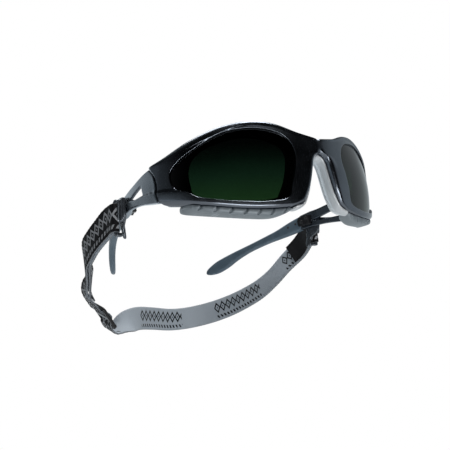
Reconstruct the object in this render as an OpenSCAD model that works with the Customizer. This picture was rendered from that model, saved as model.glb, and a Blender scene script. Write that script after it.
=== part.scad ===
// Wraparound welding glasses with a head strap: a full-rim front with two shaded lenses,
// hinged temples with soft tips, and an adjustable elastic strap looped through the temples.
// Front faces -Y, temples run to +Y, +Z is up. The origin is where the front rests on the nose.

/* [Front] */
// Radius of the wrap of the front, a sphere
wrap_r = 73; // [71:0.5:76]
// Thickness of the rim, front to back
rim_t = 4.6; // [4:0.1:5]
// Thickness of each lens
lens_t = 2.2; // [1.8:0.1:2.4]
// Depth of the soft seal behind each lens
seal_t = 3.2; // [2:0.1:3.6]
// Depth of the nose flange, front to back
nose_depth = 12.5; // [10:0.5:16]

/* [Temples] */
// Distance from the front of the lenses back to the hinge seam
seam_y = 37; // [36.5:0.1:37.5]
// Radius of the temple's bend in plan
temple_bend_r = 290; // [280:1:320]
// Thickness of the temple arm
arm_t = 3.6; // [3:0.1:3.8]
// Thickness of the soft tip
tip_t = 4.6; // [4.2:0.1:5]
// Radius of the hinge screw
screw_r = 0.8; // [0.7:0.05:0.9]
// Radial clearance of the hinge screw in the temple's knuckle
screw_gap = 0.05; // [0.02:0.01:0.09]

/* [Strap] */
// Width of the elastic band
band_w = 14.5; // [13:0.5:15]
// Thickness of the elastic band
band_t = 1.1; // [0.9:0.1:1.2]
// Length of the slider along the band
slider_len = 15; // [14.5:0.5:17]
// Thickness of the slider
slider_t = 2; // [1.8:0.1:2]

/* [Hidden] */
$fn = 64;

// Where the origin lies, measured from the front of the lenses at mid height
bridge_back = 8;
bridge_up = 8;
// Height of the wrap sphere's centre
wrap_z = 2;
// Small gap between parts that are seated on each other
seat_gap = 0.1;
big = 60;
// How far back the lenses and seals reach, short of the hinges
lens_back = 35.8;

// Radii of the layers of the front, from the wrap sphere's centre
rim_out = wrap_r + 0.6;
rim_in = rim_out - rim_t;
lens_out = wrap_r - 0.6;
lens_in = lens_out - lens_t;
seal_out = lens_in - seat_gap;
seal_in = seal_out - seal_t;
vent_out = wrap_r + 0.1;
vent_in = wrap_r - 6.5;

// Right-hand half outlines seen from the front, as [x, z]
rim_top = [[0, 17.2], [10, 19], [20, 23], [30, 24.6], [42, 22.3], [52, 17.6], [60, 11.8], [66, 7.6]];
rim_low = [[66, -8.2], [58, -10], [47.8, -12.6], [36, -14.9], [24, -15.5], [15, -14.8]];
nose_edge = [[10.8, -12.6], [9, -9.4], [7.4, -5.6], [6.2, -1], [5.2, 3.2], [4.3, 6.6], [2.6, 9.2]];
nose_wall = 1.4;
nose_flare = 2.4;
nose_top = [0, 10.2];
window = [[18.5, -11], [16.2, -4], [14.4, 3], [13.6, 9], [15, 14], [19, 18], [26, 20.2],
          [33, 20.6], [40, 19.5], [46, 16.7], [52, 12.6], [56.5, 8.8], [59.2, 4.5], [59.3, 0],
          [58, -3.6], [54.5, -6.4], [50, -9], [44, -10.8], [36, -12], [28, -12.5]];
seal_window = [[20, -9.8], [17.6, -4], [16, 3], [15.6, 9], [18, 13], [26, 16.4], [34, 16.8],
               [43, 14.6], [49.5, 10], [52, 4], [51.6, -3], [50, -7], [43, -9.6], [34, -11], [26, -11.2]];
vent_low = [[54.6, -11], [52.6, -13.4], [48.6, -14.9], [41.2, -16.6], [32.3, -18], [24.5, -18.6],
            [19.6, -17.8], [15.6, -15.6]];
seal_margin = 1.4;
// Slots across the vent strips: how many, where the first lies, their spacing, lean, width and height
rib_count = 7;
rib_first_x = 18.5;
rib_pitch = 5.2;
rib_lean = 28;
rib_w = 0.7;
rib_h = 3.4;
rib_top_z = -15.4;
rib_front_y = -6;
// How far each slot starts above its place, how deep the first cuts, and how much deeper each next one
rib_over = 1.2;
rib_reach = 8;
rib_reach_step = 2.4;

// Temple outlines seen from the side, as [y, z]
arm_side = [[34, -8.4], [34, 9], [45, 9], [56, 8.4], [70, 6.9], [84, 5.1], [84, -3.8], [76, -3.3],
            [68, -3.3], [56.4, -4.6], [44, -6.9]];
arm_window = [[51.8, -1], [52.2, 3], [54, 4.1], [69.2, 1.7], [69.2, 1.1], [60.2, -0.5]];
tip_side = [[83.4, 5], [94, 2.6], [110.8, -1.7], [127.6, -5.6], [144.6, -9.5], [152, -12.2],
            [158, -15.6], [161, -18.6], [160, -20.6], [152, -20.4], [145.4, -18.2],
            [136.7, -13.4], [128, -10.1], [119.8, -8.2], [111.4, -6.8], [99.3, -5.6], [83.4, -3.9]];
tongue_side = [[80, 2.6], [106, -1.4], [106, -4.2], [80, -1.6]];
tongue_t = 1.6;
pin_spots = [[87, 0.6], [93, -0.3]];
pin_r = 0.7;
// How deep the pins and their bores stop below the arm's outer face
pin_stop = 1.4;

// Hinge, on the wearer's left side
hinge_x = 58.9;
hinge_y = 39.6;
knuckle_r = 2.2;
knuckle_mid = 2;
knuckle_gap = 0.2;
knuckle_end = 5.6;
knuckle_clear = 0.35;
screw_head_r = 1.6;
screw_head_h = 0.8;
seam_gap = 0.3;
// Leaves that tie the knuckles to the front and to the arm
leaf_front_y = 34;
leaf_back_y = 43.4;
leaf_in_x = 56.8;
leaf_out_x = 59.9;
leaf_arm_x = 62;

// Half heights of the screw bores and of the room for the knuckles
bore_half = 9;
room_half = 12;
// Inner and front limits of the cut that ends the arm at the seam
seam_cut_x = 40;
seam_cut_y = 20;
// How far in and out, from the middle, the bores through a temple are cut
bore_in_x = 30;
bore_out_x = 70;
// Depth and width of the driver slot in the hinge screws
screw_slot_deep = 0.4;
screw_slot_w = 0.4;

// Strap anchor, on the outside of the arm
anchor_side = [[73, 4.4], [77.6, 5.7], [82.9, 5.3], [83, -3.6], [82.8, -9], [82.8, -14.4],
               [79.4, -14.4], [77.6, -9], [73.6, -4.6]];
anchor_t = 1.6;
bar_top = [81.4, 3.8];
bar_low = [81, -13];
bar_stand = 3.9;
bar_r = 1;
post_r = 1.15;
peg_spots = [[76.6, 2.2], [80.4, 0.4]];
peg_r = 1;
lock_side = [[75, 4], [83, 3.2], [83, -2.8], [75, -2.4]];
lock_t = 2.4;

// Strap route, right to left: [centre, direction up the band], hand-set points
end_right_route = [
    [[-66.4, 86.6, -4.9], [-0.03, 0.06, 0.99]],
    [[-68.2, 93.8, -8.6], [-0.04, 0.3, 0.95]],
    [[-69.8, 100.8, -12.4], [-0.06, 0.42, 0.9]]];
run_right_route = [
    [[-69.8, 101.2, -12.6], [-0.06, 0.42, 0.9]],
    [[-70.2, 107.8, -16], [-0.08, 0.5, 0.86]],
    [[-69.2, 113.4, -19.8], [0.16, 0.74, 0.64]],
    [[-66.8, 118.6, -23.8], [0.34, 0.84, 0.42]],
    [[-64.2, 124, -27], [0.4, 0.84, 0.36]],
    [[-62.6, 129.2, -29.8], [0.3, 0.86, 0.4]],
    [[-61.8, 133.6, -32], [0.16, 0.9, 0.42]],
    [[-60.4, 137.4, -34.6], [0.04, 0.93, 0.36]],
    [[-58.8, 139.8, -36.9], [-0.02, 0.95, 0.32]],
    [[-56.8, 141.2, -39.2], [-0.035, 0.95, 0.31]]];
back_route = [
    [[-44.3, 146.7, -54.4], [-0.035, 0.95, 0.31]],
    [[-42.9, 147.3, -55.6], [-0.04, 0.95, 0.31]],
    [[-40.8, 147.6, -55.8], [-0.05, 0.94, 0.33]],
    [[-37.6, 147.9, -54.4], [-0.08, 0.86, 0.5]],
    [[-33.4, 149, -52.2], [-0.14, 0.62, 0.77]],
    [[-28, 152, -50], [-0.12, 0.3, 0.95]],
    [[-19, 158.4, -48.4], [-0.02, 0.06, 1]],
    [[-6, 166.4, -48.4], [0, -0.02, 1]],
    [[10, 172.4, -49.2], [0, -0.05, 1]],
    [[24, 173, -48.4], [0, 0, 1]],
    [[38, 168.4, -46], [0.02, 0.02, 1]],
    [[47.6, 157.6, -42.6], [0.05, 0.05, 1]],
    [[53.2, 143.4, -38.4], [0.1, 0.12, 0.98]],
    [[56.4, 129, -33.6], [0.12, 0.25, 0.95]],
    [[58.8, 117, -27.4], [0.15, 0.42, 0.9]],
    [[62, 107.6, -20], [0.1, 0.52, 0.84]]];
end_left_route = [
    [[62.3, 106.9, -19.5], [0.1, 0.52, 0.84]],
    [[66.3, 98.5, -13], [0.05, 0.45, 0.88]],
    [[67.1, 92.4, -8.4], [0.05, 0.2, 0.97]],
    [[66.4, 86.6, -4.9], [0.03, 0.06, 0.99]]];
ring_steps = 4;

// Slider, at the foot of the right-hand run: centre, line of the band and line across it
slider_at = [-48.2, 144, -46.6];
slider_along = [0.61, 0.27, -0.745];
slider_across = [-0.035, 0.95, 0.31];
slider_w = band_w + 5;
slot_w = band_w + 1.4;
slot_l = 3.9;
slider_bar = 1.3;
// The band's way through the slider's slots and over its bar, as [along, off the mid plane]
weave = [[-9.9, -1.95], [-7, -1.95], [-5.4, -1.9], [-4.3, -1.4], [-3.1, 0], [-1.9, 1.5], [0, 1.95],
         [1.9, 1.5], [3.1, 0], [4.3, -1.4], [5.4, -1.9], [7, -1.95], [8.4, -1.95]];
// Distance between the two layers where the band is doubled
second_layer = 1.9;

// ---------------------------------------------------------------- helpers

function unit(v) = v / norm(v);

// One span of a Catmull-Rom curve
function span(a, b, c, d, t) =
    0.5 * ((2 * b) + (c - a) * t + (2 * a - 5 * b + 4 * c - d) * t * t + (3 * b - a - 3 * c + d) * t * t * t);

// A smooth open curve through points of any dimension
function smooth_open(p, n) = [
    for (i = [0:len(p) - 2], k = [0:n - 1])
        span(p[max(i - 1, 0)], p[i], p[i + 1], p[min(i + 2, len(p) - 1)], k / n),
    p[len(p) - 1]];

// A smooth closed curve through points
function smooth_closed(p, n) = [
    for (i = [0:len(p) - 1], k = [0:n - 1])
        span(p[(i + len(p) - 1) % len(p)], p[i], p[(i + 1) % len(p)], p[(i + 2) % len(p)], k / n)];

// Closed outline, clockwise seen from the front, moved outwards by d
function grow(p, d) = [
    for (i = [0:len(p) - 1])
        let (a = p[(i + len(p) - 1) % len(p)], b = p[(i + 1) % len(p)], t = unit(b - a))
            p[i] + d * [-t[1], t[0]]];

// Moves the model from the lens datum to the nose datum
module from_bridge() {
    translate([0, -bridge_back, -bridge_up]) children();
}

// Mirrors the wearer's left side onto the right
module on_side(side) {
    mirror([side < 0 ? 1 : 0, 0, 0]) children();
}

// A layer of the wrap between two radii
module wrap_layer(outer, inner) {
    translate([0, wrap_r, wrap_z]) difference() {
        sphere(outer);
        sphere(inner);
    }
}

// A prism through the front with an [x, z] outline
module through_front(points, back = 38) {
    translate([0, back, 0]) rotate([90, 0, 0]) linear_extrude(height = big) polygon(points);
}

// A prism across a temple with a [y, z] outline
module through_side(points, x0 = 20, x1 = 80) {
    translate([x0, 0, 0]) rotate([90, 0, 90]) linear_extrude(height = x1 - x0) polygon(points);
}

// The temple's bent wall between two offsets inwards from its outer face
module bent_wall(outer, inner) {
    translate([wrap_outer_x() - temple_bend_r, seam_y, -30]) difference() {
        cylinder(r = temple_bend_r - outer, h = 70, $fn = 128);
        translate([0, 0, -1]) cylinder(r = temple_bend_r - inner, h = 72, $fn = 128);
    }
}

// Half width of the front at the seam
function wrap_outer_x() = sqrt(rim_out * rim_out - (wrap_r - seam_y) * (wrap_r - seam_y));

// Outer face of the temple at a distance back
function arm_x(y) =
    wrap_outer_x() - temple_bend_r + sqrt(temple_bend_r * temple_bend_r - (y - seam_y) * (y - seam_y));

// A round pin or bore across a temple at a [y, z] spot, between two distances from the middle
module cross_pin(spot, x0, x1, r) {
    translate([x0, spot[0], spot[1]]) rotate([0, 90, 0]) cylinder(r = r, h = x1 - x0, $fn = 24);
}

// A straight round rod between two points
module rod(a, b, r) {
    d = b - a;
    translate(a) rotate([0, acos(d[2] / norm(d)), atan2(d[1], d[0])]) cylinder(r = r, h = norm(d), $fn = 32);
}

// A flat band swept along a route of [centre, up] pairs, as one closed solid
module band(route, width, thick, shift = 0) {
    mid = smooth_open([for (r = route) r[0]], ring_steps);
    up = smooth_open([for (r = route) r[1]], ring_steps);
    last = len(mid) - 1;
    along = [for (i = [0:last]) unit(mid[min(i + 1, last)] - mid[max(i - 1, 0)])];
    across = [for (i = [0:last]) unit(up[i] - (up[i] * along[i]) * along[i])];
    face = [for (i = [0:last]) cross(across[i], along[i])];
    corners = [for (i = [0:last]) each [
        for (c = [[1, 1], [1, -1], [-1, -1], [-1, 1]])
            mid[i] + face[i] * shift + across[i] * c[0] * width / 2 + face[i] * c[1] * thick / 2]];
    sides = [for (i = [0:last - 1], k = [0:3])
        [4 * i + k, 4 * i + (k + 1) % 4, 4 * i + 4 + (k + 1) % 4, 4 * i + 4 + k]];
    halves = [for (s = sides) each [[s[0], s[1], s[2]], [s[0], s[2], s[3]]]];
    ends = [[3, 2, 1], [3, 1, 0], [4 * last, 4 * last + 1, 4 * last + 2], [4 * last, 4 * last + 2, 4 * last + 3]];
    polyhedron(points = corners, faces = concat(halves, ends));
}

// ---------------------------------------------------------------- front

rim_half = concat(smooth_open(rim_top, 3), smooth_open(concat(rim_low, nose_edge, [nose_top]), 3));
rim_outline = concat(rim_half, [for (i = [len(rim_half) - 2:-1:1]) [-rim_half[i][0], rim_half[i][1]]]);
window_outline = smooth_closed(window, 2);
pocket_outline = grow(window_outline, seal_margin + seat_gap);
lens_outline = grow(window_outline, seal_margin);

module hinge_knuckle(z0, z1, link_x0, link_x1, link_y0, link_y1) {
    translate([hinge_x, hinge_y, z0]) cylinder(r = knuckle_r, h = z1 - z0);
    translate([link_x0, link_y0, z0]) cube([link_x1 - link_x0, link_y1 - link_y0, z1 - z0]);
}

module front_frame() color([0.16, 0.18, 0.21]) from_bridge() difference() {
    union() {
        intersection() {
            wrap_layer(rim_out, rim_in);
            through_front(rim_outline, seam_y);
        }
        for (side = [-1, 1]) on_side(side) {
            low = knuckle_mid + knuckle_gap;
            hinge_knuckle(low, knuckle_end, leaf_in_x, leaf_out_x, leaf_front_y, hinge_y);
            hinge_knuckle(-knuckle_end, -low, leaf_in_x, leaf_out_x, leaf_front_y, hinge_y);
        }
    }
    for (side = [-1, 1]) on_side(side) {
        through_front(window_outline);
        intersection() {
            translate([0, wrap_r, wrap_z]) sphere(lens_out + seat_gap);
            through_front(pocket_outline, 36);
        }
        translate([hinge_x, hinge_y, -bore_half]) cylinder(r = screw_r, h = 2 * bore_half);
    }
}

module lens(side) color([0.03, 0.09, 0.04]) from_bridge() on_side(side) intersection() {
    wrap_layer(lens_out, lens_in);
    through_front(lens_outline, lens_back);
}

module lens_seal(side) color([0.06, 0.06, 0.06]) from_bridge() on_side(side) difference() {
    intersection() {
        wrap_layer(seal_out, seal_in);
        through_front(lens_outline, lens_back);
    }
    through_front(smooth_closed(seal_window, 2));
}

// Arch and two flanges that stand back from the nose cut-out
module nose_piece() color([0.62, 0.66, 0.7]) from_bridge() {
    half = smooth_open(concat(nose_edge, [nose_top]), 2);
    arch = concat(half, [for (i = [len(half) - 2:-1:0]) [-half[i][0], half[i][1]]]);
    last = len(arch) - 1;
    outward = [for (i = [0:last])
        let (t = unit(arch[min(i + 1, last)] - arch[max(i - 1, 0)])) [t[1], -t[0]]];
    stations = [[1, seat_gap, 0], [6, seat_gap, 0], [1 + nose_depth, -nose_flare, -1]];
    rings = [for (i = [0:last]) each concat(
        [for (s = stations) let (p = arch[i] - outward[i] * s[1]) [p[0], s[0], p[1] + s[2]]],
        [for (k = [2:-1:0]) let (s = stations[k], p = arch[i] - outward[i] * (s[1] + nose_wall))
            [p[0], s[0], p[1] + s[2]]])];
    n = 6;
    skin = [for (i = [0:last - 1], k = [0:n - 1]) each [
        [n * i + k, n * i + n + k, n * i + n + (k + 1) % n],
        [n * i + k, n * i + n + (k + 1) % n, n * i + (k + 1) % n]]];
    caps = concat(
        [[0, 1, 5], [1, 4, 5], [1, 2, 4], [2, 3, 4]],
        [for (f = [[0, 5, 1], [1, 5, 4], [1, 4, 2], [2, 4, 3]]) [for (v = f) n * last + v]]);
    polyhedron(points = rings, faces = concat(skin, caps));
}

module vent_strip(side) color([0.55, 0.6, 0.64]) from_bridge() on_side(side) difference() {
    top = smooth_open(rim_low, 3);
    low = smooth_open(vent_low, 2);
    intersection() {
        wrap_layer(vent_out, vent_in);
        through_front(concat([for (p = top) if (p[0] < vent_low[0][0] - 0.2) [p[0], p[1] - seat_gap]],
            [for (i = [len(low) - 1:-1:0]) low[i]]));
    }
    for (k = [0:rib_count - 1])
        translate([rib_first_x + k * rib_pitch, rib_front_y, rib_top_z]) rotate([0, rib_lean, 0])
            translate([-rib_w / 2, 0, rib_over - rib_h]) cube([rib_w, rib_reach + rib_reach_step * k, rib_h]);
}

// ---------------------------------------------------------------- temples

module hinge_screw(side) color([0.6, 0.6, 0.62]) from_bridge() on_side(side)
    translate([hinge_x, hinge_y, 0]) difference() {
        union() {
            translate([0, 0, -knuckle_end]) cylinder(r = screw_r, h = 2 * knuckle_end);
            translate([0, 0, knuckle_end]) cylinder(r = screw_head_r, h = screw_head_h);
        }
        translate([-screw_head_r - 1, -screw_slot_w / 2, knuckle_end + screw_head_h - screw_slot_deep])
            cube([2 * screw_head_r + 2, screw_slot_w, 1]);
    }

module temple_arm(side) color([0.2, 0.22, 0.26]) from_bridge() on_side(side) difference() {
    union() {
        difference() {
            union() {
                intersection() {
                    bent_wall(0, arm_t);
                    difference() {
                        through_side(arm_side);
                        through_side(smooth_closed(arm_window, 2));
                    }
                }
                intersection() {
                    bent_wall(1, 1 + tongue_t);
                    through_side(tongue_side);
                }
            }
            translate([hinge_x, hinge_y, -room_half]) cylinder(r = knuckle_r + knuckle_clear, h = 2 * room_half);
            translate([seam_cut_x, seam_cut_y, -room_half])
                cube([seam_cut_x, seam_y + seam_gap - seam_cut_y, 2 * room_half]);
        }
        hinge_knuckle(-knuckle_mid, knuckle_mid, hinge_x + 0.1, leaf_arm_x, hinge_y, leaf_back_y);
    }
    translate([hinge_x, hinge_y, -bore_half]) cylinder(r = screw_r + screw_gap, h = 2 * bore_half);
    for (p = pin_spots) cross_pin(p, bore_in_x, bore_out_x, pin_r);
    for (p = peg_spots) cross_pin(p, bore_in_x, bore_out_x, peg_r);
}

module temple_tip(side) color([0.5, 0.55, 0.6]) from_bridge() on_side(side) difference() {
    intersection() {
        bent_wall(-0.4, tip_t - 0.4);
        through_side(tip_side);
    }
    intersection() {
        bent_wall(1, 1 + tongue_t);
        through_side(tongue_side);
    }
    for (p = pin_spots)
        cross_pin(p, arm_x(p[0]) - tip_t - 1, arm_x(p[0]) - pin_stop, pin_r);
}

module tip_pins(side) color([0.1, 0.11, 0.12]) from_bridge() on_side(side)
    for (p = pin_spots)
        cross_pin(p, arm_x(p[0]) - tip_t + 0.6, arm_x(p[0]) - pin_stop, pin_r);

module strap_anchor(side) color([0.5, 0.54, 0.58]) from_bridge() on_side(side) {
    top = [arm_x(bar_top[0]) + bar_stand, bar_top[0], bar_top[1]];
    low = [arm_x(bar_low[0]) + bar_stand, bar_low[0], bar_low[1]];
    difference() {
        union() {
            intersection() {
                bent_wall(-anchor_t - seat_gap, -seat_gap);
                through_side(anchor_side);
            }
            rod(top, low, bar_r);
            for (end = [top, low])
                rod(end - [bar_stand - anchor_t / 2, 0, 0], end + [bar_r + 0.2, 0, 0], post_r);
        }
        for (p = peg_spots) cross_pin(p, bore_in_x, arm_x(p[0]) + anchor_t - 0.5, peg_r);
    }
}

module anchor_lock(side) color([0.05, 0.05, 0.06]) from_bridge() on_side(side) {
    intersection() {
        bent_wall(arm_t + seat_gap, arm_t + seat_gap + lock_t);
        through_side(lock_side);
    }
    for (p = peg_spots)
        cross_pin(p, arm_x(p[0]) - arm_t - 1, arm_x(p[0]) + anchor_t - 0.8, peg_r - 0.02);
}

// ---------------------------------------------------------------- strap

// The slider's own axes: x along the band, y across it, z off its inner face
slider_x = unit(slider_along);
slider_y = unit(slider_across - (slider_across * slider_x) * slider_x);
slider_z = cross(slider_x, slider_y);

module at_slider() {
    x = slider_x;
    y = slider_y;
    z = slider_z;
    multmatrix([[x[0], y[0], z[0], slider_at[0]], [x[1], y[1], z[1], slider_at[1]],
                [x[2], y[2], z[2], slider_at[2]], [0, 0, 0, 1]]) children();
}

module rounded_plate(l, w, h, r) {
    linear_extrude(height = h) union() {
        square([l - 2 * r, w], center = true);
        square([l, w - 2 * r], center = true);
        for (i = [-1, 1], j = [-1, 1]) translate([i * (l / 2 - r), j * (w / 2 - r)]) circle(r);
    }
}

module strap_slider() color([0.03, 0.03, 0.035]) from_bridge() at_slider() translate([0, 0, -slider_t / 2])
    difference() {
        rounded_plate(slider_len, slider_w, slider_t, 2.2);
        for (i = [-1, 1]) translate([i * (slider_bar + slot_l / 2), 0, -1])
            rounded_plate(slot_l, slot_w, slider_t + 2, 0.6);
    }

strap_color = [0.05, 0.05, 0.055];

module strap_end_right() color(strap_color) from_bridge() {
    band(end_right_route, band_w, band_t);
    band(end_right_route, band_w - 0.6, band_t, -second_layer);
}

module strap_end_left() color(strap_color) from_bridge() {
    band(end_left_route, band_w, band_t);
    band([for (i = [1:3]) end_left_route[i]], band_w - 0.6, band_t, -second_layer);
}

module strap_run_right() color(strap_color) from_bridge() {
    band(run_right_route, band_w, band_t);
    band(run_right_route, band_w - 0.6, band_t, -second_layer);
}

module strap_back() color(strap_color) from_bridge() band(back_route, band_w, band_t);

// The stretch of band that is woven through the slider
module strap_loop() color(strap_color) from_bridge()
    band([for (w = weave) [slider_at + w[0] * slider_x + w[1] * slider_z, slider_y]], band_w, band_t);

front_frame();
lens(-1);  // lens_right
lens(1);  // lens_left
lens_seal(-1);  // lens_seal_right
lens_seal(1);  // lens_seal_left
nose_piece();
vent_strip(-1);  // vent_strip_right
vent_strip(1);  // vent_strip_left
hinge_screw(-1);  // hinge_screw_right
hinge_screw(1);  // hinge_screw_left
temple_arm(-1);  // temple_arm_right
temple_arm(1);  // temple_arm_left
temple_tip(-1);  // temple_tip_right
temple_tip(1);  // temple_tip_left
tip_pins(-1);  // tip_pins_right
tip_pins(1);  // tip_pins_left
strap_anchor(-1);  // strap_anchor_right
strap_anchor(1);  // strap_anchor_left
anchor_lock(-1);  // anchor_lock_right
anchor_lock(1);  // anchor_lock_left
strap_slider();
strap_loop();
strap_end_right();
strap_end_left();
strap_run_right();
strap_back();
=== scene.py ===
"""Looks for the wraparound welding glasses: sculpted front, lenses, temples and a woven head strap."""

import math

import bmesh
import bpy
import numpy as np
from mathutils import Matrix, Vector


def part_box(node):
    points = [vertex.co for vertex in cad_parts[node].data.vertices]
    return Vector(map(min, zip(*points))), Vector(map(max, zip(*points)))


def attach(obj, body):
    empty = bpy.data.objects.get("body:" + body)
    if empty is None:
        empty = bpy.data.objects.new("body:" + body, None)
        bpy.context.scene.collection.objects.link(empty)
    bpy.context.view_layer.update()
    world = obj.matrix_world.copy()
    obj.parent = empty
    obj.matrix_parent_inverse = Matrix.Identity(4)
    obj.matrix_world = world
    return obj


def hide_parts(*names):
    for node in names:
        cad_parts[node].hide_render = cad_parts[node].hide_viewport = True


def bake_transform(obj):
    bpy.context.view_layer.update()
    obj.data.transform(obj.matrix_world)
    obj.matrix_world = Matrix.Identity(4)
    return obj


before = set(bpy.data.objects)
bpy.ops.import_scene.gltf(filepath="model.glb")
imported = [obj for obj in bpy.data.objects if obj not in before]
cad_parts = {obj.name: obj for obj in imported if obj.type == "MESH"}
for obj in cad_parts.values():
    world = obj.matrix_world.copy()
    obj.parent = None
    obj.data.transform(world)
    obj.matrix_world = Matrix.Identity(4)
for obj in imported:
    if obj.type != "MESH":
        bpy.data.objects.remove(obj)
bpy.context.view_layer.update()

# ------------ sizes, in mm from the lens datum
MM = 0.001
WRAP_R, WRAP_Z = 73.0, 2.0  # the sphere that the front follows, and its middle height
RIM_OUT = WRAP_R + 0.6
RIM_IN = RIM_OUT - 4.6
LENS_OUT = WRAP_R - 0.6
LENS_IN = LENS_OUT - 2.2
SEAL_OUT = LENS_IN - 0.1
SEAL_IN = SEAL_OUT - 3.2
SEAL_BACK = 33.6
VENT_OUT = WRAP_R + 0.1
VENT_IN = WRAP_R - 6.5
SEAM_Y = 37.0
BEND_R = 290.0
ARM_T = 3.6
TIP_T = 4.6
BAND_W = 14.5
BAND_T = 1.1
SEAM_X = math.sqrt(RIM_OUT**2 - (WRAP_R - SEAM_Y) ** 2)
RIM_TOP_Z = 24.6

# The lens datum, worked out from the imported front: its foremost point and its top
front_low, front_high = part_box("front_frame")
DATUM = np.array([0, front_low[1] + (RIM_OUT - WRAP_R) * MM, front_high[2] - RIM_TOP_Z * MM])

# Outlines of the wearer's left half, [x, z] seen from the front
RIM_TOP = [[0, 17.2], [10, 19], [20, 23], [30, 24.6], [42, 22.3], [52, 17.6], [60, 11.8], [64.4, 9]]
RIM_LOW = [[64.4, -8.4], [58, -10], [47.8, -12.6], [36, -14.9], [24, -15.5], [15, -14.8]]
NOSE_EDGE = [[15, -14.8], [10.8, -12.6], [9, -9.4], [7.4, -5.6], [6.2, -1], [5.2, 3.2], [4.3, 6.6],
             [2.6, 9.2], [0, 10.2]]
WINDOW = [[18.5, -11], [16.2, -4], [14.4, 3], [13.6, 9], [15, 14], [19, 18], [26, 20.2], [33, 20.6],
          [40, 19.5], [46, 16.7], [52, 12.6], [56.5, 8.8], [59.2, 4.5], [59.3, 0], [58, -3.6], [54.5, -6.4],
          [50, -9], [44, -10.8], [36, -12], [28, -12.5]]
SEAL_WINDOW = [[20, -9.8], [17.6, -4], [16, 3], [15.6, 9], [18, 13], [26, 16.4], [34, 16.8], [43, 14.6],
               [49.5, 10], [52, 4], [51.6, -3], [50, -7], [43, -9.6], [34, -11], [26, -11.2]]
VENT_LOW = [[54.6, -11], [52.6, -13.4], [48.6, -14.9], [41.2, -16.6], [32.3, -18], [24.5, -18.6],
            [19.6, -17.8], [15.6, -15.6]]

# Outlines of a temple, [y, z] seen from the side
SEAM = [[36.2, -8.4], [36.6, -3.4], [36.8, 0.7], [38.2, 4.3], [40.6, 7], [43.2, 8.9]]
ARM_TOP = [[43.2, 8.9], [48, 8.9], [56, 8.4], [70, 6.9], [84, 5.1]]
ARM_LOW = [[84, -3.8], [76, -3.3], [68, -3.3], [56.4, -4.6], [44, -6.9], [36.2, -8.4]]
ARM_WINDOW = [[51.8, -1], [51.9, 1.4], [52.6, 3.6], [54.4, 4], [61, 3], [69.2, 1.7], [69.4, 1.3],
              [60.2, -0.5]]
BAR_EDGE = [[36, -3.4], [44, -2.3], [51.8, -1.2], [60, -0.6], [69, 0.8], [84, 0.8]]

# Upper edge of the ledge that runs round the front's outer corner, [x, z]
LEDGE = [[46, -10.6], [50, -9.4], [52, -8.4], [54, -6.5], [57, -4.9], [60, -3.9], [66, -3.4]]


# ------------ curves and meshes
def spline(points, n, closed=False):
    """A Catmull-Rom curve through points, n steps to a span."""
    p = np.array(points, float)
    m = len(p)
    out = []
    for i in range(m if closed else m - 1):
        if closed:
            a, b, c, d = p[i - 1], p[i], p[(i + 1) % m], p[(i + 2) % m]
        else:
            a, b, c, d = p[max(i - 1, 0)], p[i], p[i + 1], p[min(i + 2, m - 1)]
        for t in np.arange(n) / n:
            out.append(0.5 * (2 * b + (c - a) * t + (2 * a - 5 * b + 4 * c - d) * t**2
                              + (3 * b - a - 3 * c + d) * t**3))
    if not closed:
        out.append(p[-1])
    return np.array(out)


def even(points, n):
    """n + 1 points evenly spaced along a polyline."""
    p = np.asarray(points, float)
    run = np.concatenate([[0], np.cumsum(np.linalg.norm(np.diff(p, axis=0), axis=1))])
    at = np.linspace(0, run[-1], n + 1)
    return np.stack([np.interp(at, run, p[:, k]) for k in range(p.shape[1])], axis=1)


def curve_at(table, x):
    """The value of a smooth curve, given as [x, value] pairs, at x."""
    c = spline(table, 8)
    return np.interp(x, c[:, 0], c[:, 1])


def ramp(lo, hi, x):
    """0 below lo, 1 above hi and smooth between them."""
    t = np.clip((np.asarray(x, float) - lo) / (hi - lo), 0, 1)
    return t * t * (3 - 2 * t)


def rounding(d, r):
    """How far a rounded edge of radius r drops at distance d from the edge."""
    k = np.clip(1 - np.asarray(d, float) / np.maximum(r, 1e-6), 0, 1)
    return r * (1 - np.sqrt(1 - k * k))


def normals(points, closed):
    p = np.asarray(points, float)
    t = np.roll(p, -1, 0) - np.roll(p, 1, 0) if closed else np.gradient(p, axis=0)
    t /= np.linalg.norm(t, axis=1)[:, None]
    return np.stack([-t[:, 1], t[:, 0]], axis=1)


def new_object(name, points, faces, uv=None, face_material=None):
    """A mesh object from points in mm from the lens datum."""
    mesh = bpy.data.meshes.new(name)
    mesh.from_pydata((np.asarray(points) * MM + DATUM).tolist(), [], [list(map(int, f)) for f in faces])
    if uv is not None:
        layer = mesh.uv_layers.new(name="band")
        for loop in mesh.loops:
            layer.data[loop.index].uv = uv[loop.vertex_index]
    if face_material is not None:
        mesh.polygons.foreach_set("material_index", face_material)
    mesh.polygons.foreach_set("use_smooth", [True] * len(mesh.polygons))
    mesh.validate()
    mesh.update()
    obj = bpy.data.objects.new(name, mesh)
    bpy.context.scene.collection.objects.link(obj)
    return obj


def weld(obj, distance=0.00001):
    """Merges doubled points and turns the faces outwards."""
    bm = bmesh.new()
    bm.from_mesh(obj.data)
    bmesh.ops.remove_doubles(bm, verts=bm.verts, dist=distance)
    bmesh.ops.recalc_face_normals(bm, faces=bm.faces)
    bm.to_mesh(obj.data)
    bm.free()
    return obj


def subdivide(obj):
    modifier = obj.modifiers.new("subdivide", "SUBSURF")
    modifier.levels = modifier.render_levels = 1


def apply_modifiers(obj):
    shown = obj.evaluated_get(bpy.context.evaluated_depsgraph_get())
    mesh = bpy.data.meshes.new_from_object(shown)
    obj.modifiers.clear()
    obj.data = mesh


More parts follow.
